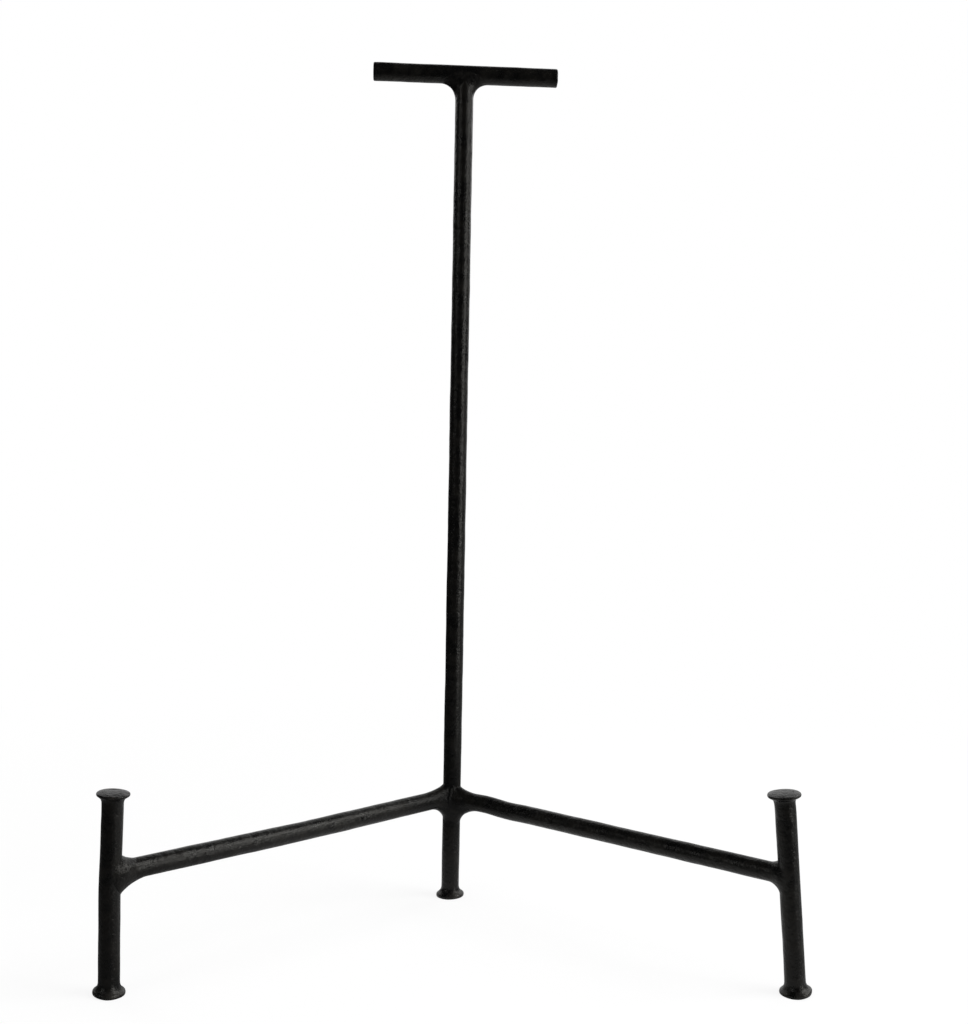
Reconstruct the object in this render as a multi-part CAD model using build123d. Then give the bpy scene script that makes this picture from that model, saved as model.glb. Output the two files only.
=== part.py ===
from build123d import *
import os
from math import cos, radians, sin, tan

# Overall sizes, in millimetres
overall_height = 305.0  # floor to the top of the crossbar
foot_spacing = 213.0  # between the middles of the two front feet
base_depth = 86.0  # from the line of the front feet back to the rear foot
arm_height = 37.3  # floor to the axis of both arms
leg_length = 62.8  # each front leg along its own axis, from the floor to its head's face

# Round bar
upright_diameter = 6.35
crossbar_diameter = 6.35
leg_diameter = 6.35
arm_diameter = 6.0
saddle_depth = 0.6  # how deep the end of a bar is filed to sit on the bar that it meets

# Lean of the front legs, heads inward, in degrees
left_leg_lean = 1.3
right_leg_lean = 5.2

# Crossbar
crossbar_length = 66.6
crossbar_offset = 0.6  # how far its middle sits to the right of the upright
crossbar_bevel = 0.6  # at the edges of both ends

# Upset feet, where the bars stand on the floor
foot_diameter = 10.0
foot_height = 4.0  # floor to where the flare runs into the bar
foot_rim = 0.9  # the least height of the rim above the floor
foot_bevel = 0.4  # at the upper edge of the rim
foot_floor_bevel = 0.3  # at the edge on the floor

# Upset heads, on top of the front legs
head_diameter = 9.8
head_height = 3.6  # face to where the flare runs into the bar
head_rim = 0.8
head_bevel = 0.3  # at both edges of the rim

# Flares of the feet and heads: a wide taper, then a steep one, which meet at a knee
flare_knee_width_share = 0.27
flare_knee_height_share = 0.6

# Weld at the crossbar: its reach along the crossbar and its length down the upright, on each side
crossbar_weld_right_reach = 4.8
crossbar_weld_right_length = 4.2
crossbar_weld_left_reach = 5.6
crossbar_weld_left_length = 6.0
crossbar_weld_hollow_share = 0.85  # 0 is a straight slope, near 1 a deep hollow

# Welds at the roots of the arms: reach along the upright and length along the arm, above and below
left_root_weld_over_reach = 1.6
left_root_weld_over_length = 6.0
left_root_weld_under_reach = 3.9
left_root_weld_under_length = 4.6
right_root_weld_over_reach = 1.4
right_root_weld_over_length = 5.0
right_root_weld_under_reach = 3.8
right_root_weld_under_length = 6.0
root_weld_hollow_share = 0.75

# Welds at the legs: reach along the leg and length along the arm, above and below
left_leg_weld_over_reach = 1.9
left_leg_weld_over_length = 4.6
left_leg_weld_under_reach = 4.0
left_leg_weld_under_length = 7.6
left_leg_weld_hollow_share = 0.3
right_leg_weld_over_reach = 1.2
right_leg_weld_over_length = 3.2
right_leg_weld_under_reach = 2.6
right_leg_weld_under_length = 4.4
right_leg_weld_hollow_share = 0.6

# All welds
weld_toe = 0.2  # thickness left where a weld runs out on the bar
weld_side = 0.4  # how far its flanks spread past the wider bar at that end
weld_bite = 0.1  # how deep the profile of a weld starts inside the carrier
weld_core_share = 0.97  # half width of a weld's hidden start, of the carrier's radius
weld_flank_share = 1.15  # height of a weld's flanks, of its reach
weld_slope_shares = (0.0, 0.2, 0.45, 0.7, 1.0)  # places of the corners along a weld's profile

LEFT, RIGHT = -1, 1
STANDING = (Align.CENTER, Align.CENTER, Align.MIN)
front_line = -base_depth / 2
back_line = base_depth / 2
crossbar_axis = overall_height - crossbar_diameter / 2
upright_top = crossbar_axis - crossbar_diameter / 2 + saddle_depth


def turned(outline, bevels):
    """A solid of revolution about Z from its half section, with the named corners bevelled."""
    section = make_face(Polyline(*outline, close=True))
    for corner, size in bevels:
        section = chamfer(section.vertices().sort_by_distance(corner)[0], size)
    return revolve(Plane.XZ * section, Axis.Z)


def flare_knee(rim, neck):
    """The corner of a flare's two tapers."""
    width = neck[0] + flare_knee_width_share * (rim[0] - neck[0])
    return width, rim[1] + flare_knee_height_share * (neck[1] - rim[1])


def foot_outline(diameter, sink):
    """The half section of a foot, and its bevelled corner. It starts sink below the floor."""
    rim = (foot_diameter / 2, foot_rim + sink)
    neck = (diameter / 2, foot_height + sink)
    return [(0, -sink), (foot_diameter / 2, -sink), rim, flare_knee(rim, neck), neck], [(rim, foot_bevel)]


def head_outline(diameter, top):
    """The half section of a head, and its bevelled corners."""
    neck = (diameter / 2, top - head_height)
    rim = (head_diameter / 2, top - head_rim)
    edge = (head_diameter / 2, top)
    return [neck, flare_knee(rim, neck), rim, edge, (0, top)], [(rim, head_bevel), (edge, head_bevel)]


def on_floor(bar, height):
    """Cuts off what a bar has below the floor, and bevels the edge that this leaves, with a wide cone."""
    face = foot_diameter / 2 - foot_floor_bevel
    return bar & Cone(face, face + height, height, align=STANDING)


def upright_bar():
    """The upright with its foot, before the crossbar is cut out of its top."""
    outline, bevels = foot_outline(upright_diameter, 0)
    outline += [(upright_diameter / 2, upright_top), (0, upright_top)]
    return Pos(0, back_line, 0) * on_floor(turned(outline, bevels), upright_top)


def leg(side, lean):
    """A front leg. Its foot starts below the floor and is dressed flat, so its whole face stands on it."""
    foot, foot_bevels = foot_outline(leg_diameter, foot_diameter / 2 * tan(radians(lean)))
    head, head_bevels = head_outline(leg_diameter, leg_length)
    bar = Rot(0, -side * lean, 0) * turned(foot + head, foot_bevels + head_bevels)
    return Pos(side * foot_spacing / 2, front_line, 0) * on_floor(bar, leg_length + head_diameter)


def leg_axis(side, lean):
    """The direction of a leg, from foot to head."""
    return Vector(-side * sin(radians(lean)), 0, cos(radians(lean)))


def leg_joint(side, lean):
    """Where the axis of an arm meets the axis of its leg."""
    return Vector(side * (foot_spacing / 2 - arm_height * tan(radians(lean))), front_line, arm_height)


def along(start, end):
    """A plane at start, with Z running to end and Y up."""
    direction = (end - start).normalized()
    return Plane(start, x_dir=Axis.Z.direction.cross(direction), z_dir=direction)


def own_side(solid, side):
    """The share of a solid on its own side of the middle plane, where left and right meet."""
    return split(solid, Plane.YZ, keep=Keep.TOP if side == RIGHT else Keep.BOTTOM)


def arm(joint, side, leg_bar):
    """An arm from the upright to its leg, filed at both ends to sit on them."""
    start = upright_diameter / 2 - saddle_depth
    end = (joint - root_joint).length - leg_diameter / 2 + saddle_depth
    bar = along(root_joint, joint).offset(start) * Cylinder(arm_diameter / 2, end - start, align=STANDING)
    return own_side(bar - upright - leg_bar, side)


def slope(radius, carrier_radius, reach, length, hollow_share, side):
    """The profile of a weld above (side 1) or below (side -1) a bar, as points from the carrier outward."""
    start = Vector(carrier_radius - weld_bite, side * (radius + reach))
    end = Vector(carrier_radius + length, side * (radius + weld_toe))
    corner = Vector(carrier_radius, side * (radius + weld_toe))
    middle = (start + end) / 2
    pull = middle + (corner - middle) * hollow_share
    return [
        start * (1 - share) ** 2 + pull * (2 * share * (1 - share)) + end * share ** 2
        for share in weld_slope_shares
    ]


def weld_sleeve(place, carrier_axis, over, under):
    """A solid round the carrier with the two slopes of a weld as its profile."""
    out = (place.z_dir - carrier_axis * place.z_dir.dot(carrier_axis)).normalized()
    hub = [Vector(0, under[0].Y), Vector(0, over[0].Y)]
    section = make_face(Polyline(*hub, *over, *reversed(under), close=True))
    section = Plane(place.origin, x_dir=out, z_dir=out.cross(carrier_axis)) * section
    return revolve(section, Axis(place.origin, carrier_axis))


def weld(place, bar, bar_diameter, carrier, carrier_diameter, carrier_axis, over, under, hollow_share):
    """A bead round the end of a bar, cut by the bar and by the carrier, the bar that it is welded to.
    place has Z along the bar. over and under are the bead's (reach, length) on its +Y and -Y side."""
    radius, carrier_radius = bar_diameter / 2, carrier_diameter / 2
    upper = slope(radius, carrier_radius, *over, hollow_share, 1)
    lower = slope(radius, carrier_radius, *under, hollow_share, -1)
    length = max(over[1], under[1])
    end = carrier_radius + length + weld_toe
    rise = weld_flank_share * max(over[0], under[0]) / length
    tip = radius + weld_toe - rise * weld_toe
    bead = place * Cone(tip + rise * end, tip, end, align=STANDING)
    top, bottom = [radius + weld_toe + weld_flank_share * reach for reach, _ in (over, under)]
    half_height = (top + bottom) / 2
    half_width = weld_core_share * carrier_radius
    wide = (half_height ** 2 + half_width ** 2) / (2 * half_width)
    spread = wide + max(radius, carrier_radius) + weld_side - half_width
    for side in (LEFT, RIGHT):
        middle = Pos(side * (wide - half_width), (top - bottom) / 2)
        bead = bead & place * middle * Cone(wide, spread, end, align=STANDING)
    bead = bead & weld_sleeve(place, carrier_axis, upper, lower)
    return bead - bar - carrier


root_joint = Vector(0, back_line, arm_height)
left_joint = leg_joint(LEFT, left_leg_lean)
right_joint = leg_joint(RIGHT, right_leg_lean)
top_joint = Plane((0, back_line, crossbar_axis), x_dir=(0, 1, 0), z_dir=(0, 0, -1))

crossbar = Rot(0, 90, 0) * Cylinder(crossbar_diameter / 2, crossbar_length)
crossbar = chamfer(crossbar.edges().filter_by(GeomType.CIRCLE), crossbar_bevel)
crossbar = Pos(crossbar_offset, back_line, crossbar_axis) * crossbar
upright = upright_bar() - crossbar
left_leg = leg(LEFT, left_leg_lean)
right_leg = leg(RIGHT, right_leg_lean)
left_arm = arm(left_joint, LEFT, left_leg)
right_arm = arm(right_joint, RIGHT, right_leg)

crossbar_weld = weld(
    top_joint, upright, upright_diameter, crossbar, crossbar_diameter, Axis.X.direction,
    (crossbar_weld_right_reach, crossbar_weld_right_length),
    (crossbar_weld_left_reach, crossbar_weld_left_length),
    crossbar_weld_hollow_share,
)
left_root_weld = weld(
    along(root_joint, left_joint), left_arm, arm_diameter, upright, upright_diameter, Axis.Z.direction,
    (left_root_weld_over_reach, left_root_weld_over_length),
    (left_root_weld_under_reach, left_root_weld_under_length),
    root_weld_hollow_share,
)
right_root_weld = weld(
    along(root_joint, right_joint), right_arm, arm_diameter, upright, upright_diameter, Axis.Z.direction,
    (right_root_weld_over_reach, right_root_weld_over_length),
    (right_root_weld_under_reach, right_root_weld_under_length),
    root_weld_hollow_share,
)
left_leg_weld = weld(
    along(left_joint, root_joint), left_arm, arm_diameter, left_leg, leg_diameter,
    leg_axis(LEFT, left_leg_lean),
    (left_leg_weld_over_reach, left_leg_weld_over_length),
    (left_leg_weld_under_reach, left_leg_weld_under_length),
    left_leg_weld_hollow_share,
)
right_leg_weld = weld(
    along(right_joint, root_joint), right_arm, arm_diameter, right_leg, leg_diameter,
    leg_axis(RIGHT, right_leg_lean),
    (right_leg_weld_over_reach, right_leg_weld_over_length),
    (right_leg_weld_under_reach, right_leg_weld_under_length),
    right_leg_weld_hollow_share,
)

nodes = {
    "upright": upright,
    "crossbar": crossbar,
    "left_arm": left_arm,
    "right_arm": right_arm,
    "left_leg": left_leg,
    "right_leg": right_leg,
    "crossbar_weld": crossbar_weld,
    "left_root_weld": own_side(left_root_weld, LEFT),
    "right_root_weld": own_side(right_root_weld, RIGHT),
    "left_leg_weld": left_leg_weld,
    "right_leg_weld": right_leg_weld,
}
os.makedirs("parts", exist_ok=True)
for name, solid in nodes.items():
    export_step(solid, f"parts/{name}.step")
    print(name, len(solid.solids()), "solid of", round(solid.volume, 1), "cubic mm")
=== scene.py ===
# %% [markdown]
# # A forged display easel
# This lesson dresses a small black easel of round iron bar: one tall upright with a crossbar on
# top, two arms that run forward, and two short legs that keep a plate from sliding off. The
# shapes of the packed model are the fixed frame, and each bar and weld gets a finer skin in the
# very same place.

# %% Load the frame
import math
from collections import namedtuple

import bmesh
import bpy
from mathutils import Matrix, Vector, noise


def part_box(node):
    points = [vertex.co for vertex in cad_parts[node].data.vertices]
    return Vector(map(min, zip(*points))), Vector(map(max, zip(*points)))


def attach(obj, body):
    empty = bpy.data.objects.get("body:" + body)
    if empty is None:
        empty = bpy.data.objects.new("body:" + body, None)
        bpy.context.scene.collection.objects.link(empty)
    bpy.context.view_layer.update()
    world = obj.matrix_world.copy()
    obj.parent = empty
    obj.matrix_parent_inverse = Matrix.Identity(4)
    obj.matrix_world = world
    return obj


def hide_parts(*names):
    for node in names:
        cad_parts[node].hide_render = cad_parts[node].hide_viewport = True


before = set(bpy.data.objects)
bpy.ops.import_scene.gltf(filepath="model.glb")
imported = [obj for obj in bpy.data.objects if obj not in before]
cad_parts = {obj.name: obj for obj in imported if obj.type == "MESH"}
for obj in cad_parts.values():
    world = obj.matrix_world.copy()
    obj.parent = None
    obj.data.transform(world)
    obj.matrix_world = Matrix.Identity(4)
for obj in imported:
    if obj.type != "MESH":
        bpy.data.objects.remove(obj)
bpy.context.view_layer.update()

print("frame nodes:", ", ".join(sorted(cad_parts)))

# %% [markdown]
# ## Where the bars run
# A smith thinks of this easel as six lengths of bar, each with a start, a direction and a
# radius. The upright and the crossbar are read from the boxes of their nodes, and the black coat
# makes every bar a tenth of a millimetre thicker all round. The crossbar isn't quite level: it
# slopes down to the right by a third of a degree.

# %% Read the upright and the crossbar
MM = 0.001
Bar = namedtuple("Bar", "start direction radius length kinks", defaults=((),))
coat_thickness = 0.1 * MM
crossbar_slope = 0.006
crossbar_shift = 0.12 * MM
crossbar_shortening = 0.35 * MM

low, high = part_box("crossbar")
crossbar_run = Vector((1, 0, -crossbar_slope)).normalized()
crossbar_length = high.x - low.x
crossbar_axis = Bar(
    start=(low + high) / 2 - crossbar_run * (crossbar_length / 2 + crossbar_shift),
    direction=crossbar_run,
    radius=(high.z - low.z) / 2 + coat_thickness,
    length=crossbar_length - crossbar_shortening,
)
bar_radius = crossbar_axis.radius
low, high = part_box("upright")
upright_foot = Vector(((low.x + high.x) / 2, (low.y + high.y) / 2, 0))
upright_axis = Bar(upright_foot, Vector((0, 0, 1)), bar_radius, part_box("crossbar")[0].z)


def in_mm(length):
    """A length in millimetres, for printing."""
    return round(length / MM, 2)


print("upright", in_mm(upright_axis.length), "mm, crossbar", in_mm(crossbar_axis.length), "mm")

# %% [markdown]
# ## Legs that lean, arms that join them
# The legs lean inward, one more than the other, and a box doesn't tell a lean, so their angles
# are written here as they were measured. An arm runs from the upright's axis to its leg's axis,
# so it needs only a height at each end. No bar is quite straight: a kink is a place along the
# bar, how far the bar bends over and sideways there, and how wide the bend is, in millimetres.

# %% Measure the legs and the arms
Kink = namedtuple("Kink", "place over side width")
arms_height = 37.5 * MM
arm_radius = 3.0 * MM + coat_thickness


def leaning(degrees):
    """The direction of a leg that leans to the right by this angle."""
    return Vector((math.sin(math.radians(degrees)), 0, math.cos(math.radians(degrees))))


def arm_to(leg, radius, root_height, leg_height, kinks):
    """An arm from the upright's axis to a leg's axis."""
    root = upright_foot + Vector((0, 0, root_height))
    run = leg.start + leg.direction * (leg_height / leg.direction.z) - root
    return Bar(root, run.normalized(), radius, run.length, kinks)


left_leg_axis = Bar(
    Vector((-106.5, -43, 0)) * MM, leaning(1.3), bar_radius, length=62.6 * MM,
    kinks=[Kink(0, over=0, side=0.24, width=12), Kink(33, over=0, side=-0.26, width=10)],
)
right_leg_axis = Bar(
    Vector((106.5, -43, 0)) * MM, leaning(-5.2), bar_radius, length=63.8 * MM,
    kinks=[Kink(0, over=0.5, side=-0.2, width=14), Kink(63.5, over=0, side=-0.3, width=3)],
)
left_arm_axis = arm_to(
    left_leg_axis, arm_radius + 0.07 * MM, root_height=37.75 * MM, leg_height=37.55 * MM,
    kinks=[Kink(66, over=-0.45, side=0, width=42)],
)
right_arm_axis = arm_to(
    right_leg_axis, arm_radius, root_height=37.3 * MM, leg_height=37.3 * MM,
    kinks=[Kink(16, over=0.28, side=0, width=5), Kink(27, over=-0.2, side=0, width=5)],
)
print("arms", in_mm(left_arm_axis.length), "and", in_mm(right_arm_axis.length), "mm")

# %% [markdown]
# ## Painted shade at the root of the arms
# Where the two arms meet the upright, two welds lie side by side and the bars shade each other.
# The coat is made matt and less reflective there as painted shade. A painted mask could say where,
# but a distance from the joint says it for every skin at once.

# %% Measure the painted shade at the root
root_joint = upright_foot + Vector((0, 0, arms_height))
painted_shade_reach = 22 * MM


def painted_root_shade(point):
    """How much painted shade dulls the coat at a point, from one at the root of the arms to zero
    away from it.
    """
    return math.exp(-((point - root_joint).length / painted_shade_reach) ** 2)


print("dullness at the upright's foot:", round(painted_root_shade(upright_foot), 3))

# %% [markdown]
# ## A piece that stands for its node
# Each skin is a plain list of points and faces. Three things are kept with every point: its
# place along and across its own bar, so that the finish can run with the iron whichever way the
# bar points, how much hands and shelves have rubbed it, which is most at the rims, and how much
# painted shade dulls it near the root of the arms.

# %% Make a piece
def keep_with_points(mesh, name, kind, field, values):
    """Values that a mesh keeps with its points, for the finish to read."""
    mesh.attributes.new(name, kind, "POINT").data.foreach_set(field, values)


def make_piece(node, points, faces, bar_places, rubbed):
    """A smooth mesh that stands for a node and rides with the easel."""
    mesh = bpy.data.meshes.new(node + "_skin")
    mesh.from_pydata(points, [], faces)
    shell = bmesh.new()
    shell.from_mesh(mesh)
    bmesh.ops.recalc_face_normals(shell, faces=shell.faces)
    shell.to_mesh(mesh)
    shell.free()
    flat_places = [value for place in bar_places for value in place]
    # painted shade: how much the coat is made matt near the root of the arms
    root_shade_values = [painted_root_shade(point) for point in points]
    keep_with_points(mesh, "bar_place", "FLOAT_VECTOR", "vector", flat_places)
    keep_with_points(mesh, "rubbed", "FLOAT", "value", rubbed)
    keep_with_points(mesh, "root_shade_share", "FLOAT", "value", root_shade_values)
    mesh.shade_smooth()
    piece = bpy.data.objects.new(node + "_skin", mesh)
    bpy.context.scene.collection.objects.link(piece)
    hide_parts(node)
    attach(piece, "root")
    print(piece.name, "has", len(mesh.polygons), "faces")
    return piece


# %% [markdown]
# ## Outlines with dulled corners
# Nothing forged has a sharp corner. Here an outline is a short list of corners, each a distance
# along the bar and a radius. A bevel modifier could round them on the mesh, but cutting every
# corner of the outline three times, as one files an edge, is simpler and leaves a smooth line.

# %% Dull an outline
def between(corner_a, corner_b, share):
    """The point at a share of the way between two corners of an outline."""
    (along_a, radius_a), (along_b, radius_b) = corner_a, corner_b
    return along_a + share * (along_b - along_a), radius_a + share * (radius_b - radius_a)


def dulled(outline, rounds=3):
    """An outline with its corners cut again and again."""
    for _ in range(rounds):
        cut = [outline[0]]
        for corner_a, corner_b in zip(outline, outline[1:]):
            cut += [between(corner_a, corner_b, 0.25), between(corner_a, corner_b, 0.75)]
        outline = cut + [outline[-1]]
    return outline


def with_rings(outline, step=1.3 * MM):
    """An outline with rings added on its long straight runs."""
    full = [outline[0]]
    for corner_a, corner_b in zip(outline, outline[1:]):
        count = max(1, math.ceil(math.dist(corner_a, corner_b) / step))
        full += [between(corner_a, corner_b, number / count) for number in range(1, count + 1)]
    return full


square_end = [(0, 0), (0, bar_radius), (3 * MM, bar_radius)]
print("a square end of", len(square_end), "corners is dulled to", len(dulled(square_end)))

# %% [markdown]
# ## Feet and heads
# A foot or a head is made by upsetting: the hot end of the bar is struck until it spreads. A
# foot is flat below and widest just above the floor. A head is slightly domed. Both run down to
# the bar in a wide taper and then a steep one. The corners are written in millimetres.

# %% Outline a foot and a head
def in_metres(corners, start=0):
    """Corners of an outline from millimetres to metres, counted from a place along the bar."""
    return [(start + along * MM, radius * MM) for along, radius in corners]


def foot_corners(spread):
    """A foot from the middle of its face up to the bar. spread is its radius."""
    bar = bar_radius / MM
    return in_metres([
        (0, 0), (0, 4.2), (0, spread - 0.15), (0.5, spread), (1.15, spread - 0.04),
        (1.6, spread - 0.7), (2.3, 3.65), (3.3, 3.3), (4.6, bar), (7.0, bar),
    ])


def head_corners(top, spread):
    """A head from the bar up to the middle of its face. spread is its radius."""
    bar = bar_radius / MM
    return in_metres([
        (-7.0, bar), (-3.8, bar), (-2.6, 3.35), (-1.7, 3.8), (-1.15, spread - 0.4),
        (-0.85, spread - 0.02), (-0.25, spread), (-0.1, spread - 0.5), (0.25, 2.8), (0.4, 0),
    ], top)


print("a foot has", len(foot_corners(5)), "corners and a head", len(head_corners(0, 5)))

# %% [markdown]
# ## Dents and bends
# The bars are round stock, straightened by hand: true to a tenth of a millimetre or two, never
# perfect. A modifier with a noise texture could dent them, but denting each point as it is made
# keeps the ends exact. A wide noise stands for the straightening and a small one for the hammer.

# %% Dent and bend a bar
wide_dent, small_dent = 11 * MM, 3.6 * MM
small_dent_share = 0.45
small_dent_start = Vector((7, 3, 5))
steep = 0.7


def dent(point, depth):
    """How far a point of the skin lies out or in, from the hammer and the straightening."""
    wide = noise.noise(point / wide_dent)
    small = noise.noise(point / small_dent + small_dent_start)
    return depth * (wide + small_dent_share * small)


def across(direction):
    """Two directions across a bar: upward or forward, and sideways."""
    up = Vector((0, 0, 1)) if abs(direction.z) < steep else Vector((0, -1, 0))
    over = (up - direction * up.dot(direction)).normalized()
    return over, direction.cross(over)


def sway(axis, along):
    """How far a bar is out of line at a place along it."""
    over, side = across(axis.direction)
    bend = Vector((0, 0, 0))
    for kink in axis.kinks:
        fade = math.exp(-((along / MM - kink.place) / kink.width) ** 2)
        bend += (over * kink.over + side * kink.side) * MM * fade
    return bend


left_bow = sway(left_arm_axis, left_arm_axis.length / 2)
print("the left arm is bowed by", in_mm(left_bow.length), "mm")

# %% [markdown]
# ## Saddles
# Where a bar sits on another one, its end is filed to a saddle: each line along its skin runs on
# until it meets the other bar. A boolean cut leaves uneven triangles there. Working out where a
# line meets a round bar, and easing the last few rings towards it, keeps the rings whole.

# %% Fit an end to the bar that carries it
saddle_run = 6 * MM
slant_fade = 3.5 * MM
Ends = namedtuple("Ends", "first last start_on end_on slants")


def saddle(point, direction, carrier):
    """How far along a line the skin of the carrier is left behind, and how far it is met."""
    flat = direction - carrier.direction * direction.dot(carrier.direction)
    offset = point - carrier.start
    offset = offset - carrier.direction * offset.dot(carrier.direction)
    a, b, c = flat.dot(flat), flat.dot(offset), offset.dot(offset) - carrier.radius ** 2
    root = math.sqrt(max(b * b - a * c, 0))
    return (-b + root) / a, (-b - root) / a


def fitted(along, line, sideways, axis, ends):
    """A place along a bar once its ends are filed to saddles, or struck a little out of square.
    line is where the line of the skin starts, and sideways how far right of the axis it runs."""
    place = along
    if ends.end_on and along > ends.last - saddle_run:
        met = saddle(line, axis.direction, ends.end_on)[1]
        place += (met - ends.last) * ((along - ends.last) / saddle_run + 1) ** 2
    if ends.start_on and along < ends.first + saddle_run:
        left_behind = saddle(line, axis.direction, ends.start_on)[0]
        place += (left_behind - ends.first) * ((ends.first - along) / saddle_run + 1) ** 2
    for slant, away in zip(ends.slants, (along - ends.first, ends.last - along)):
        place += slant * sideways * math.exp(-(away / slant_fade) ** 2)
    return place


arm_start = saddle(left_arm_axis.start, left_arm_axis.direction, upright_axis)[0]
print("the left arm leaves the upright", in_mm(arm_start), "mm from its axis")

# %% [markdown]
# ## Forged bar
# A bar is a stack of rings along its axis, one for each point of its outline. A bevelled curve
# gives a bar too, but no foot, no saddle and no dents. Dents grow with the spread of a foot or a
# head, and fade out near the welds, so that the beads lie close.

# %% Skin one ring of a bar
bar_segments = 56
skin_share = 0.9
bar_dent, spread_dent_share = 0.1 * MM, 0.12
face_dent, face_dent_stretch, face_depth = 0.22 * MM, 1.8, 0.2 * MM


def forged_ring(axis, along, radius, ends, calm):
    """The points of one ring. calm is zero at a weld and one where dents are full."""
    over, side = across(axis.direction)
    spread = max(radius - axis.radius, 0)
    ring = []
    for number in range(bar_segments if radius > 0 else 1):
        turn = 2 * math.pi * number / bar_segments
        out = over * math.cos(turn) + side * math.sin(turn)
        line = axis.start + out * radius
        point = line + axis.direction * fitted(along, line, radius * math.sin(turn), axis, ends)
        if radius > skin_share * axis.radius:
            depth = dent(point, bar_dent + spread_dent_share * spread) * calm
            point = point + out * depth + sway(axis, along)
        if along > ends.last - face_depth and not ends.end_on:
            point = point + axis.direction * dent(point * face_dent_stretch, face_dent)
        ring.append(point)
    return ring


sample_ends = Ends(0, upright_axis.length, None, None, (0, 0))
sample_ring = forged_ring(upright_axis, upright_axis.length / 2, bar_radius, sample_ends, 1)
widths = [in_mm((point.xy - upright_foot.xy).length * 2) for point in sample_ring]
print("halfway up, the upright is", min(widths), "to", max(widths), "mm thick")

# %% Skin a bar
full_wear_spread = 1.6 * MM


def ring_faces(rings):
    """Faces between rings that follow each other. A ring of one point closes an end."""
    faces = []
    for ring, later in zip(rings, rings[1:]):
        for number in range(bar_segments):
            next_number = (number + 1) % bar_segments
            if len(ring) == 1:
                face = (ring[0], later[next_number], later[number])
            elif len(later) == 1:
                face = (ring[number], ring[next_number], later[0])
            else:
                face = (ring[number], ring[next_number], later[next_number], later[number])
            faces.append(face)
    return faces


def forged_bar(node, axis, outline, welds, start_on=None, end_on=None, stands=False,
               slants=(0, 0)):
    """A bar that may sit on other bars with its ends, or stand on the floor. welds pairs the
    places where it is welded with how far the dents stay away from them. slants are how much
    its two ends rise to the right."""
    outline = with_rings(outline)
    ends = Ends(outline[0][0], outline[-1][0], start_on, end_on, slants)
    points, places, rubbed, rings = [], [], [], []
    for along, radius in outline:
        calm = 1 - max(math.exp(-((along - place) / reach) ** 4) for place, reach in welds)
        wear = min(max(radius - axis.radius, 0) / full_wear_spread, 1)
        ring = forged_ring(axis, along, radius, ends, calm)
        rings.append(range(len(points), len(points) + len(ring)))
        for number, point in enumerate(ring):
            turn = 2 * math.pi * number / bar_segments
            if stands:
                point.z = max(point.z, 0)
            points.append(point)
            places.append((along, radius * math.cos(turn), radius * math.sin(turn)))
            rubbed.append(wear)
    return make_piece(node, points, ring_faces(rings), places, rubbed)


print("each ring has", bar_segments, "points")

# %% [markdown]
# ## The upright and the crossbar
# The upright has a foot and no head: its top is filed to the crossbar. The crossbar is sawn
# square and its ends are dulled, so its outline is a cylinder with two corners cut.

# %% Make the upright and the crossbar
upright_top = [(upright_axis.length, bar_radius), (upright_axis.length, 0)]
upright = forged_bar(
    "upright", upright_axis, dulled(foot_corners(5.1)) + upright_top,
    welds=((arms_height, 16 * MM), (upright_axis.length, 14 * MM)),
    end_on=crossbar_axis, stands=True, slants=(0.04, 0),
)

sawn_end = dulled([
    (0, 0), (0, bar_radius - 1.2 * MM), (0, bar_radius),
    (1.1 * MM, bar_radius), (2.8 * MM, bar_radius),
])
other_end = [(crossbar_axis.length - along, radius) for along, radius in reversed(sawn_end)]
crossbar = forged_bar(
    "crossbar", crossbar_axis, sawn_end + other_end,
    welds=((upright_foot.x - crossbar_axis.start.x, 14 * MM),),
)

# %% [markdown]
# ## The legs
# Each leg is struck at both ends, a little out of square. Because the legs lean, their feet
# would stand on one edge, so a smith dresses that edge flat: what would be below the floor is
# pressed up to it.

# %% Make the legs
leg_weld = ((arms_height, 13 * MM),)


def leg_outline(leg, foot_spread, head_spread):
    """Foot, bar and head of a leg in one outline."""
    return dulled(foot_corners(foot_spread)) + dulled(head_corners(leg.length, head_spread))


left_leg = forged_bar(
    "left_leg", left_leg_axis, leg_outline(left_leg_axis, foot_spread=4.9, head_spread=5.0),
    leg_weld, stands=True, slants=(-0.07, -0.05),
)
right_leg = forged_bar(
    "right_leg", right_leg_axis, leg_outline(right_leg_axis, foot_spread=5.05, head_spread=5.3),
    leg_weld, stands=True, slants=(0.06, 0.02),
)

# %% [markdown]
# ## The arms
# An arm has a saddle at each end, one on the upright and one on its leg, so its outline is a
# plain bar that ends a little short and is run out to both. The left arm is bowed a little and
# the right one kinked near its root, which comes from their axes.

# %% Make the arms
def arm_outline(arm):
    """A plain bar from skin to skin, closed at both ends."""
    first, last = bar_radius, arm.length - bar_radius
    return [(first, 0), (first, arm.radius), (last, arm.radius), (last, 0)]


left_arm = forged_bar(
    "left_arm", left_arm_axis, arm_outline(left_arm_axis),
    welds=((0, 20 * MM), (left_arm_axis.length, 17 * MM)),
    start_on=upright_axis, end_on=left_leg_axis,
)
right_arm = forged_bar(
    "right_arm", right_arm_axis, arm_outline(right_arm_axis),
    welds=((0, 20 * MM), (right_arm_axis.length, 14 * MM)),
    start_on=upright_axis, end_on=right_leg_axis,
)

# %% [markdown]
# ## The skin of a weld
# A weld is a bead of metal that fills the corner between two bars and runs out smoothly on both.
# A boolean with a bevel could make it, but breaks where two bars are nearly as thick as each
# other. Here the bead is a rounded union: a point lies on it where its gaps to the bars, each
# measured against how far the bead runs out there, add up to just one. The larger the fullness,
# the deeper the hollow, and at one the slope is straight.

# %% Find the skin of a bead
search_low, search_high, search_rounds = -1.0 * MM, 5.0 * MM, 20
bar_start_share = 0.8


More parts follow.
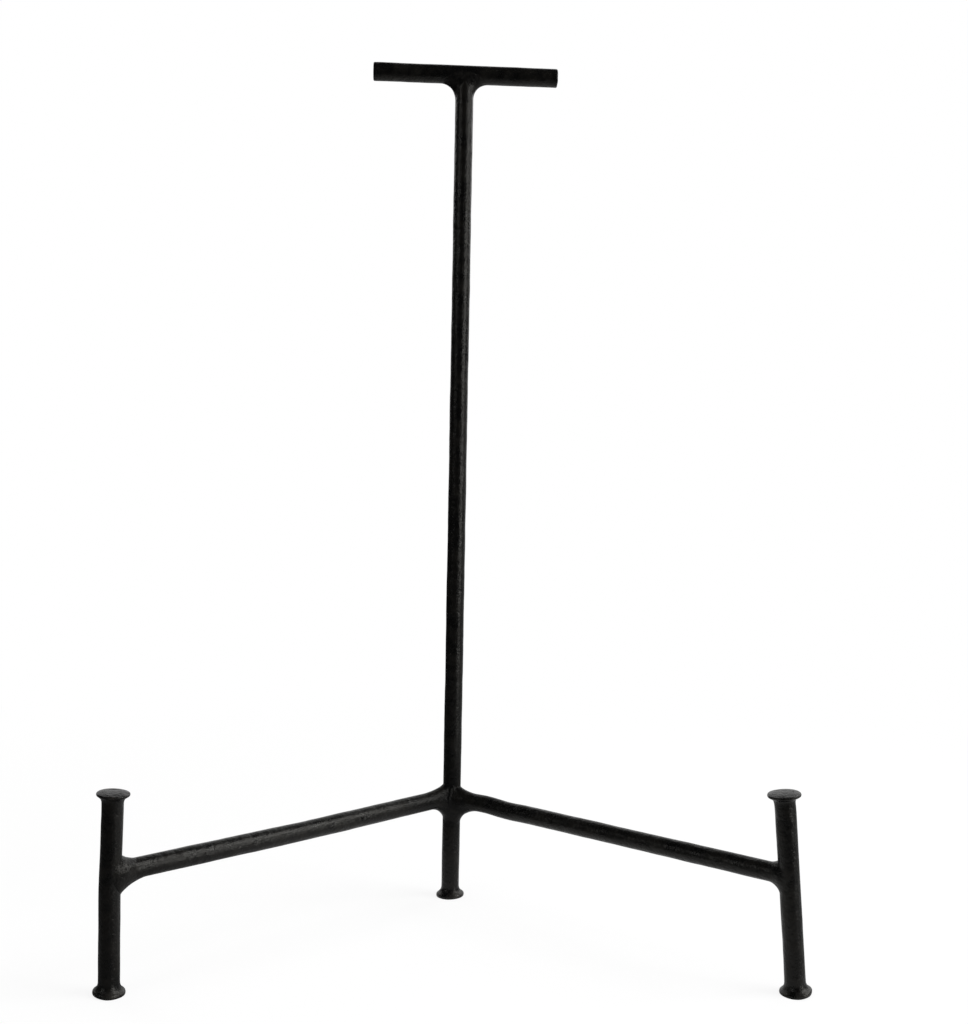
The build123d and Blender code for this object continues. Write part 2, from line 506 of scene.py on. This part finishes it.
def gap(point, bar, from_place=0.0):
    """The distance from a bar's skin, negative inside. The bar starts at a place on its axis."""
    offset = point - bar.start
    along = max(offset.dot(bar.direction), from_place)
    return (offset - bar.direction * along).length - bar.radius


def bead_level(point, carrier, runs, fullness):
    """Below zero inside a bead, above zero outside. runs pairs each bar with how far the bead
    runs up to it."""
    total = 0
    for bar, size in runs:
        start = 0 if bar is carrier else bar_start_share * carrier.radius
        total += max(1 - gap(point, bar, start) / size, 0) ** fullness
    return 1 - total ** (1 / fullness)


def bead_height(seed, way, carrier, runs, fullness):
    """How far from a seed the skin of a bead lies, found by halving the search."""
    low, high = search_low, search_high
    for _ in range(search_rounds):
        middle = (low + high) / 2
        inside = bead_level(seed + way * middle, carrier, runs, fullness) < 0
        low, high = (middle, high) if inside else (low, middle)
    return low


print("a bead is found in", in_mm(search_high - search_low), "mm by", search_rounds, "halvings")

# %% [markdown]
# ## Ripples and lumps
# A weld laid by hand is never even. A little noise and a fine ripple stand for the drops that it
# was laid in, and a few lumps stand where the welder stayed longer. A bump in the finish would
# not show against the light, so they are in the mesh. They fade towards both edges of the bead,
# and the edges are sunk by a hair, so that none stands proud of its bar.

# %% Ripple a bead
noise_height, noise_size = 0.06, 2.4 * MM
drop_height, drops_round, drops_across = 0.02, 17, 5
lump_turn, lump_width = 0.55, 0.22
edge_depth = 0.05


def ripple(point, turn, share, lumps):
    """How far a bead stands out at a point, in millimetres. share is how far the point is on
    the way from carrier to bar. A lump is its turn in degrees, its share and its height."""
    height = noise_height * noise.noise(point / noise_size)
    height += drop_height * math.sin(drops_round * turn + drops_across * share)
    for lump_degrees, lump_share, lump_height in lumps:
        off = math.remainder(turn - math.radians(lump_degrees), 2 * math.pi) / lump_turn
        height += lump_height * math.exp(-off ** 2 - ((share - lump_share) / lump_width) ** 2)
    return height * math.sin(math.pi * share) ** 2 - edge_depth * (2 * share - 1) ** 8


print("the edges of a bead are sunk by", -ripple(root_joint, 0, 0, ()), "mm")

# %% [markdown]
# ## The sizes of a bead
# Each side of a bead has its own size, as on the real easel, where a bead reaches further below
# an arm than above it. A size is a pair: how far the bead reaches on the carrier, and its length
# on the bar. Going round the bar, the sizes pass smoothly from over to beside to under. The bead
# also swings round the carrier, up to a limit on each side.

# %% Size a bead
Bead = namedtuple("Bead", "over under beside fullness lumps swings neighbour",
                  defaults=((), (108, 108), None))
flank_fullness = 2.3
bead_swing = math.radians(108)


def bead_sizes(bead, turn):
    """Reach, length, fullness and swing of a bead at a turn round its bar."""
    c, s = math.cos(turn), math.sin(turn)
    size, fullness = (bead.over, bead.fullness[0]) if c > 0 else (bead.under, bead.fullness[1])
    reach, length = [
        (edge * c * c + flank * s * s) * MM for edge, flank in zip(size, bead.beside)
    ]
    fullness = fullness * c * c + flank_fullness * s * s
    limit = math.radians(bead.swings[0] if s > 0 else bead.swings[1])
    swing = math.copysign(min(bead_swing * abs(s), limit), s)
    return reach, length, fullness, swing


sample_bead = Bead((2, 5), (4, 8), (1, 6), fullness=(2, 2))
sample_length = bead_sizes(sample_bead, math.radians(45))[1]
print("between 5 mm over and 6 mm beside, a bead is", in_mm(sample_length), "mm long")

# %% [markdown]
# ## The ribs of a bead
# A bead is a ring of ribs, each from an edge hidden in the carrier to one hidden in the bar. A
# rib starts as a smooth line from edge to edge, and each of its points is then moved out to the
# skin of the bead. Between the two arms the beads run together: there each bead also leans on
# its neighbour's arm, and less so on top, where both have to run out on the upright.

# %% Lay one rib
rib_shares = [number / 18 for number in range(19)]
run_out = 1.04
root_run_out, flank_run_out = 0.6 * MM, 0.8 * MM
between_arms, between_arms_on_top = 6.0 * MM, 2.2 * MM
hidden_edge = 0.7 * MM
core_place, core_depth = 0.3, 0.9 * MM


def away_from(point, bar):
    """The direction straight out from a bar's axis to a point."""
    offset = point - bar.start
    return (offset - bar.direction * offset.dot(bar.direction)).normalized()


def rib_edges(bar, carrier, bead, turn):
    """A rib's edge on the carrier, its corner, its edge on the bar, and the way out of the bar."""
    run, joint, up = bar.direction, bar.start, carrier.direction
    out = (run - up * run.dot(up)).normalized()
    side = up.cross(out)
    lift = (up - run * up.dot(run)).normalized()
    c, s = math.cos(turn), math.sin(turn)
    reach, length, _, swing = bead_sizes(bead, turn)
    rise = bar.radius + run_out * reach + (root_run_out if bead.neighbour else 0)
    round_carrier = (out * math.cos(swing) + side * math.sin(swing)) * carrier.radius
    carrier_edge = joint + up * (c * rise) + round_carrier
    outward = lift * c + side * s
    line = joint + outward * bar.radius
    corner = line + run * saddle(line, run, carrier)[0]
    bar_edge = corner + run * (run_out * length + flank_run_out * s * s)
    return carrier_edge, corner, bar_edge, outward


def bead_rib(bar, carrier, bead, turn):
    """The points of one rib, from inside the carrier over the bead and back inside the bar."""
    carrier_edge, corner, bar_edge, outward = rib_edges(bar, carrier, bead, turn)
    reach, length, fullness, _ = bead_sizes(bead, turn)
    runs = [(carrier, length), (bar, reach)]
    if bead.neighbour:
        on_top = max(math.cos(turn), 0)
        neighbour_run = between_arms + (between_arms_on_top - between_arms) * on_top
        runs.append((bead.neighbour, neighbour_run))
    rib = [carrier_edge - away_from(carrier_edge, carrier) * hidden_edge]
    for share in rib_shares:
        rest = 1 - share
        seed = carrier_edge * rest * rest + corner * (2 * rest * share) + bar_edge * share * share
        way = (away_from(seed, carrier) * rest + away_from(seed, bar) * share).normalized()
        height = bead_height(seed, way, carrier, runs, fullness)
        height += ripple(seed + way * height, turn, share, bead.lumps) * MM
        point = seed + way * height
        carrier_sway = sway(carrier, (point - carrier.start).dot(carrier.direction))
        bar_sway = sway(bar, (point - bar.start).dot(bar.direction))
        rib.append(point + carrier_sway * rest + bar_sway * share)
    rib.append(bar_edge - outward * hidden_edge)
    core = bar.direction * (core_place * bar.radius) + outward * (bar.radius - core_depth)
    return rib + [bar.start + core]


sample_rib = bead_rib(left_arm_axis, upright_axis, sample_bead, 0)
print("a rib has", len(sample_rib), "points")

# %% [markdown]
# ## A weld from its ribs
# The ribs go all the way round the bar, and each is closed inside the iron, so joining every
# rib to the next one gives a closed ring with no open edge. The beads are rubbed a little all
# over.

# %% Skin a weld
weld_segments = 80
weld_wear = 0.12


def weld(node, bar, carrier, bead):
    """A bead round the start of a bar, on the bar that carries it."""
    ribs = [
        bead_rib(bar, carrier, bead, 2 * math.pi * number / weld_segments)
        for number in range(weld_segments)
    ]
    points = [point for rib in ribs for point in rib]
    size = len(ribs[0])
    faces = []
    for number in range(weld_segments):
        here, later = number * size, (number + 1) % weld_segments * size
        for place in range(size):
            next_place = (place + 1) % size
            faces.append((here + place, later + place, later + next_place, here + next_place))
    places = [tuple(point - bar.start) for point in points]
    return make_piece(node, points, faces, places, [weld_wear] * len(points))


def turned_round(bar):
    """The same bar, run from its far end."""
    kinks = [
        kink._replace(place=bar.length / MM - kink.place, side=-kink.side) for kink in bar.kinks
    ]
    far_end = bar.start + bar.direction * bar.length
    return Bar(far_end, -bar.direction, bar.radius, bar.length, kinks)


print("each weld has", weld_segments, "ribs")

# %% [markdown]
# ## Five welds
# A bead starts where its bar starts, so the upright is taken as a bar that hangs from the
# crossbar's axis, and an arm as one that starts at its leg. The bead at the left leg has a long
# straight slope below the arm and a lump in front, and the one at the right leg is smaller.

# %% Make the welds of the upright
crossbar_height = crossbar_axis.start.z + crossbar_axis.length * crossbar_run.z * 0.5
hanging_upright = turned_round(upright_axis._replace(length=crossbar_height))
crossbar_weld = weld("crossbar_weld", hanging_upright, crossbar_axis, Bead(
    over=(5.6, 5.6), under=(5.6, 6.4), beside=(1.2, 1.8), fullness=(2.2, 2.2),
    lumps=[(80, 0.5, -0.15), (-110, 0.5, 0.2)], swings=(96, 96),
))
left_root_weld = weld("left_root_weld", left_arm_axis, upright_axis, Bead(
    over=(2.2, 10.5), under=(5.6, 7.6), beside=(1.6, 7.2), fullness=(1.7, 1.9),
    swings=(60, 108), neighbour=right_arm_axis,
))
right_root_weld = weld("right_root_weld", right_arm_axis, upright_axis, Bead(
    over=(1.6, 8.2), under=(6.8, 9.6), beside=(1.6, 7.2), fullness=(1.6, 1.9),
    swings=(108, 60), neighbour=left_arm_axis,
))

# %% Make the welds of the legs
left_leg_weld = weld("left_leg_weld", turned_round(left_arm_axis), left_leg_axis, Bead(
    over=(2.2, 5.0), under=(4.0, 8.4), beside=(1.6, 6.0), fullness=(1.45, 1.45),
    lumps=[(-74, 0.74, 0.75), (70, 0.6, 0.3)],
))
right_leg_weld = weld("right_leg_weld", turned_round(right_arm_axis), right_leg_axis, Bead(
    over=(1.6, 3.6), under=(3.2, 3.6), beside=(1.5, 3.2), fullness=(1.8, 1.9),
    lumps=[(100, 0.6, 0.25), (-80, 0.6, 0.25)],
))

# %% [markdown]
# ## Shader arithmetic
# A finish is a sum of small patterns. Wrapping a node's output in a class with operators lets
# the sums be written as sums: mask * 0.2 + 0.4 adds the two Math nodes by itself. Every other
# node comes from one method, which sets the node's own settings first and then its sockets.

# %% A wire that can be added and multiplied
class Wire:
    """An output socket of a shader node."""

    def __init__(self, socket):
        self.socket = socket
        self.tree = socket.id_data

    @staticmethod
    def add(tree, kind, settings=None, sockets=None):
        """A new node, with its settings and then the values or wires of its sockets."""
        node = tree.nodes.new(kind)
        for name, value in (settings or {}).items():
            if name == "stops":
                for element, (position, grey) in zip(node.color_ramp.elements, value):
                    element.position = position
                    element.color = (grey, grey, grey, 1)
            else:
                setattr(node, name, value)
        for name, value in (sockets or {}).items():
            socket = next(s for s in node.inputs if s.enabled and name in (s.identifier, s.name))
            if isinstance(value, Wire):
                tree.links.new(value.socket, socket)
            else:
                socket.default_value = value
        outputs = [s for s in node.outputs if s.enabled]
        return Wire(outputs[0]) if outputs else None

    def pick(self, name):
        """Another output of the same node."""
        return Wire(self.socket.node.outputs[name])

    def math(self, operation, first, second):
        """A Math node on two values or wires."""
        return Wire.add(self.tree, "ShaderNodeMath", {"operation": operation},
                        {"Value": first, "Value_001": second})

    def __add__(self, other):
        return self.math("ADD", self, other)

    def __radd__(self, other):
        return self.math("ADD", other, self)

    def __sub__(self, other):
        return self.math("SUBTRACT", self, other)

    def __rsub__(self, other):
        return self.math("SUBTRACT", other, self)

    def __mul__(self, other):
        return self.math("MULTIPLY", self, other)

    def __rmul__(self, other):
        return self.math("MULTIPLY", other, self)


print("reflected forms:", ", ".join(name for name in vars(Wire) if name.startswith("__r")))

# %% [markdown]
# ## Patterns in the coat
# Close to, the black coat is mottled, with fine lines along the bar from rolling and small pits
# from the scale below. An image would need the bars laid out flat. Noise needs only a place, and
# taken at each point's place on its own bar it runs with the iron. The lines are noise drawn out
# along the bar.

# %% Draw the patterns
blotch_scale, pit_scale, line_scale, grain_scale = 210, 620, 1500, 1900
drawn_out = (0.08, 1, 1)
thin_stops = ((0.42, 0), (0.68, 1))
Patterns = namedtuple("Patterns", "blotch pits lines grain thin wear")


def kept_value(tree, name, output):
    """A value that the skins keep with their points."""
    return Wire.add(tree, "ShaderNodeAttribute", {"attribute_name": name}).pick(output)


def cloud(place, scale, detail, roughness=0.5):
    """Noise at a place, with this many swells to the metre."""
    return Wire.add(place.tree, "ShaderNodeTexNoise", {},
                    {"Vector": place, "Scale": scale, "Detail": detail, "Roughness": roughness})


def coat_patterns(tree):
    """The patterns that colour, roughness and bump share."""
    place = kept_value(tree, "bar_place", "Vector")
    drawn_place = Wire.add(tree, "ShaderNodeVectorMath", {"operation": "MULTIPLY"},
                           {"Vector": place, "Vector_001": drawn_out})
    blotch = cloud(place, blotch_scale, 4, 0.6)
    thin = Wire.add(tree, "ShaderNodeValToRGB", {"stops": thin_stops}, {"Fac": blotch})
    return Patterns(
        blotch=blotch,
        pits=cloud(place, pit_scale, 3, 0.6),
        lines=cloud(drawn_place, line_scale, 2),
        grain=cloud(place, grain_scale, 3, 0.55),
        thin=thin,
        wear=kept_value(tree, "rubbed", "Fac") * thin,
    )


print("blotches are about", round(1 / blotch_scale / MM, 1), "mm wide")

# %% [markdown]
# ## Black finish on forged iron
# The easel is black all over: a thin satin coat over iron that still shows its scale. It is a
# little warmer where it is thin, a little duller where it is thick, and worn smooth at the rims.
# At the root of the arms a Mix Shader goes over to a matt, less reflective coat: painted shade
# where the bars shade each other. A single dark colour would look like plastic, so colour,
# roughness and bump all come from the same few patterns.

# %% Mix the black finish
thick_coat, thin_coat = (0.0012, 0.0012, 0.0013, 1), (0.0040, 0.0035, 0.0028, 1)
worn_coat = (0.030, 0.028, 0.025, 1)
warm_gloss = (1.0, 0.985, 0.93, 1)
satin_gloss, matt_gloss = 0.22, 0.05
satin_roughness, matt_roughness = 0.31, 0.45
most_worn, most_matt = 0.6, 0.8


def mixed_colours(factor, first, second):
    """A colour between two others."""
    return Wire.add(factor.tree, "ShaderNodeMix", {"data_type": "RGBA"},
                    {"Factor": factor, "A": first, "B": second})


def black_finish(name, gloss_shift, bump_depth):
    """A black satin coat on forged iron, made matt near the root of the arms as painted shade."""
    material = bpy.data.materials.new(name)
    material.use_nodes = True
    tree = material.node_tree
    tree.nodes.clear()
    blotch, pits, lines, grain, thin, wear = coat_patterns(tree)
    coat = mixed_colours(thin, thick_coat, thin_coat)
    colour = mixed_colours(wear * most_worn, coat, worn_coat)
    uneven = (blotch - 0.5) * 0.34 + (lines - 0.5) * 0.1 - wear * 0.05
    height = grain * 0.14 + lines * 0.16 + blotch * 0.8 + pits * 0.6
    bump = Wire.add(tree, "ShaderNodeBump", {},
                    {"Strength": 1.0, "Distance": bump_depth, "Height": height})
    satin = Wire.add(tree, "ShaderNodeBsdfPrincipled", {}, {
        "Base Color": colour, "Roughness": satin_roughness + gloss_shift + uneven,
        "Normal": bump, "Specular IOR Level": satin_gloss, "Specular Tint": warm_gloss,
    })
    matt = Wire.add(tree, "ShaderNodeBsdfPrincipled", {}, {
        "Base Color": colour, "Roughness": matt_roughness,
        "Normal": bump, "Specular IOR Level": matt_gloss,
    })
    # painted shade: the matt, less reflective coat near the root of the arms
    matt_share = kept_value(tree, "root_shade_share", "Fac") * most_matt
    surface = Wire.add(tree, "ShaderNodeMixShader", {},
                       {"Fac": matt_share, "Shader": satin, "Shader_001": matt})
    Wire.add(tree, "ShaderNodeOutputMaterial", {}, {"Surface": surface})
    print(name, "has", len(tree.nodes), "nodes")
    return material


# %% Coat the pieces
bar_finish = black_finish("black_bar_finish", gloss_shift=0.0, bump_depth=0.42 * MM)
weld_finish = black_finish("black_weld_finish", gloss_shift=0.01, bump_depth=0.46 * MM)
for piece in (upright, crossbar, left_arm, right_arm, left_leg, right_leg):
    piece.data.materials.append(bar_finish)
for piece in (crossbar_weld, left_root_weld, right_root_weld, left_leg_weld, right_leg_weld):
    piece.data.materials.append(weld_finish)

# %% [markdown]
# ## Floor
# The easel stands on plain white paper that runs out of the picture on every side. One large
# flat face is enough for that.

# %% Lay the floor
floor_half = 4.0
floor_corners = [(-1, -1), (1, -1), (1, 1), (-1, 1)]
floor_mesh = bpy.data.meshes.new("floor")
floor_mesh.from_pydata([(x * floor_half, y * floor_half, 0) for x, y in floor_corners],
                       [], [(0, 1, 2, 3)])
floor = bpy.data.objects.new("floor", floor_mesh)
bpy.context.scene.collection.objects.link(floor)
print("floor", 2 * floor_half, "m wide")

# %% [markdown]
# ## White paper
# White paper under plain light is never quite white in a render, so the camera and the iron's
# reflections see it mostly as a white that shines by itself. Near the easel a share of the lit
# paper is left in, and with it the soft shadow at the feet. In reflections the paper is bright
# below and behind the easel, about half as bright far to the right, and dim towards the camera
# and on the left, where the real bars are darkest.

# %% Paint the paper
def seen_rays(tree):
    """The kinds of rays, and one for those of the camera, of reflections and of glass, with zero
    for the light itself."""
    rays = Wire.add(tree, "ShaderNodeLightPath")
    seen = rays.pick("Is Camera Ray") + rays.pick("Is Glossy Ray")
    seen = seen + rays.pick("Is Transmission Ray")
    return rays, seen.math("MINIMUM", seen, 1.0)


def smooth_step(value, start, end):
    """Zero before the start, one after the end, and a soft change between them."""
    return Wire.add(value.tree, "ShaderNodeMapRange", {"interpolation_type": "SMOOTHSTEP"},
                    {"Value": value, "From Min": start, "From Max": end})


paper = bpy.data.materials.new("white_paper")
paper.use_nodes = True
paper_tree = paper.node_tree
paper_tree.nodes.clear()
rays, seen = seen_rays(paper_tree)
spot = Wire.add(paper_tree, "ShaderNodeTexCoord").pick("Object")
place = Wire.add(paper_tree, "ShaderNodeSeparateXYZ", {}, {"Vector": spot})
not_in_front = smooth_step(place.pick("Y"), -0.2, -0.01)
not_left = smooth_step(place.pick("X"), -0.13, 0.0)
far_right = smooth_step(place.pick("X"), 0.04, 0.2)
bright = not_in_front * not_left * (1 - 0.45 * far_right)
mirrored = rays.pick("Is Glossy Ray")
paper_white = 1 - mirrored + mirrored * (0.03 + 0.72 * bright)
print("paper nodes so far:", len(paper_tree.nodes))

# %% Leave a share of the lit paper
distance = Wire.add(paper_tree, "ShaderNodeVectorMath", {"operation": "LENGTH"},
                    {"Vector": spot}).pick("Value")
plain_share = 0.84 + 0.16 * smooth_step(distance, 0.1, 0.45)
lit = Wire.add(paper_tree, "ShaderNodeBsdfDiffuse", {}, {"Color": (0.92, 0.92, 0.92, 1)})
white = Wire.add(paper_tree, "ShaderNodeEmission", {}, {"Color": paper_white})
ground = Wire.add(paper_tree, "ShaderNodeMixShader", {},
                  {"Fac": seen * plain_share, "Shader": lit, "Shader_001": white})
Wire.add(paper_tree, "ShaderNodeOutputMaterial", {}, {"Surface": ground})
floor.data.materials.append(paper)
print("paper nodes:", len(paper_tree.nodes))

# %% [markdown]
# ## White sweep
# The easel stood before a white sweep, with a dim room on the camera's side. That is why the
# bars are black in the middle and grey at their edges. A bent sheet could stand behind it, but a
# world does the same from every side: it gives plain light from all round, to the camera it is
# white, and in reflections it is white behind the easel and dim in front.

# %% Light the sweep
plain_level = 0.35
world = bpy.data.worlds.new("white_sweep")
bpy.context.scene.world = world
world.use_nodes = True
sky = world.node_tree
sky.nodes.clear()
rays, seen = seen_rays(sky)
toward = Wire.add(sky, "ShaderNodeTexCoord").pick("Generated")
heading = Wire.add(sky, "ShaderNodeSeparateXYZ", {}, {"Vector": toward})
behind = smooth_step(heading.pick("Y") + 0.3 * heading.pick("X"), 0.4, 0.95)
sweep = 0.03 + 0.97 * behind
camera_ray = rays.pick("Is Camera Ray")
strength = camera_ray + (1 - camera_ray) * (seen * sweep + (1 - seen) * plain_level)
shine = Wire.add(sky, "ShaderNodeBackground", {}, {"Color": strength})
Wire.add(sky, "ShaderNodeOutputWorld", {}, {"Surface": shine})
print("world nodes:", len(sky.nodes))

# %% [markdown]
# ## Soft boxes
# On black iron a lamp shows mostly as its reflection, so its place is read from the bright lines
# on the bars. A large box hangs high on the right and a low one stands before it. A small one
# stands on the left, and two more stand behind. The one overhead lights without being mirrored.

# %% Hang the soft boxes
easel_middle = (0, 0, 0.15)


def soft_box(name, place, width, depth, watts, aim=easel_middle, mirrored=True):
    """A soft box that hangs at a place and faces a point. The iron mirrors it, or gets its light
    alone."""
    lamp = bpy.data.lights.new(name, "AREA")
    lamp.shape = "RECTANGLE"
    lamp.size, lamp.size_y, lamp.energy = width, depth, watts
    box = bpy.data.objects.new(name, lamp)
    bpy.context.scene.collection.objects.link(box)
    box.location = place
    box.visible_glossy = mirrored
    box.rotation_euler = (Vector(aim) - Vector(place)).to_track_quat("-Z", "Y").to_euler()
    print(name, "is", round(watts / (math.pi * width * depth), 2), "times white")


soft_box("right_box", (0.9, -0.14, 0.86), width=0.6, depth=0.66, watts=8.6)
soft_box("low_right_box", (0.95, -0.63, 0.2), width=0.52, depth=0.4, watts=4.5)
soft_box("left_box", (-0.85, -0.65, 0.55), width=0.35, depth=0.35, watts=1.3)
soft_box("back_right_box", (0.8, 0.75, 0.7), width=0.5, depth=0.5, watts=2.0)
soft_box("back_left_box", (-0.8, 0.75, 0.7), width=0.5, depth=0.5, watts=1.6)
soft_box("overhead_box", (0.0, -0.1, 1.3), width=1.0, depth=1.0, watts=5,
         aim=(0, 0, 0.1), mirrored=False)

# %% [markdown]
# ## Camera
# The camera's place, turn and lens were fitted to the edges of the six bars in the photograph.
# It stands close, a little to the left, and looks slightly down. The sensor's long side is the
# picture's height. A track-to constraint would aim it, but not with the slight roll of the
# photograph, so its turn is written as three matrices.

# %% Set the lens
photo_height, lens_pixels, sensor_height = 1024, 1314.75, 36
camera_data = bpy.data.cameras.new("camera")
camera_data.sensor_fit = "VERTICAL"
camera_data.sensor_height = sensor_height
camera_data.lens = sensor_height * lens_pixels / photo_height
camera_data.clip_start = 0.01
print("lens", round(camera_data.lens, 2), "mm")

# %% Place the camera
camera_place = Vector((-14.26, -439.76, 173.67)) * MM
yaw, pitch, roll = math.radians(-2.876), math.radians(3.507), math.radians(1.106)
yaw_c, yaw_s = math.cos(yaw), math.sin(yaw)
pitch_c, pitch_s = math.cos(pitch), math.sin(pitch)
roll_c, roll_s = math.cos(roll), math.sin(roll)
yawed = Matrix(((yaw_c, yaw_s, 0), (-yaw_s, yaw_c, 0), (0, 0, 1)))
looking_level = Matrix(((1, 0, 0), (0, 0, -1), (0, 1, 0)))
pitched = Matrix(((1, 0, 0), (0, pitch_c, -pitch_s), (0, pitch_s, pitch_c)))
rolled = Matrix(((roll_c, -roll_s, 0), (roll_s, roll_c, 0), (0, 0, 1)))
right, down, forward = rolled @ pitched @ looking_level @ yawed
camera_turn = Matrix((right, -down, -forward)).transposed()

camera = bpy.data.objects.new("camera", camera_data)
bpy.context.scene.collection.objects.link(camera)
camera.matrix_world = Matrix.LocRotScale(camera_place, camera_turn, None)
bpy.context.scene.camera = camera
bpy.context.scene.view_settings.view_transform = "Standard"
print("camera looks along", [round(value, 3) for value in forward])
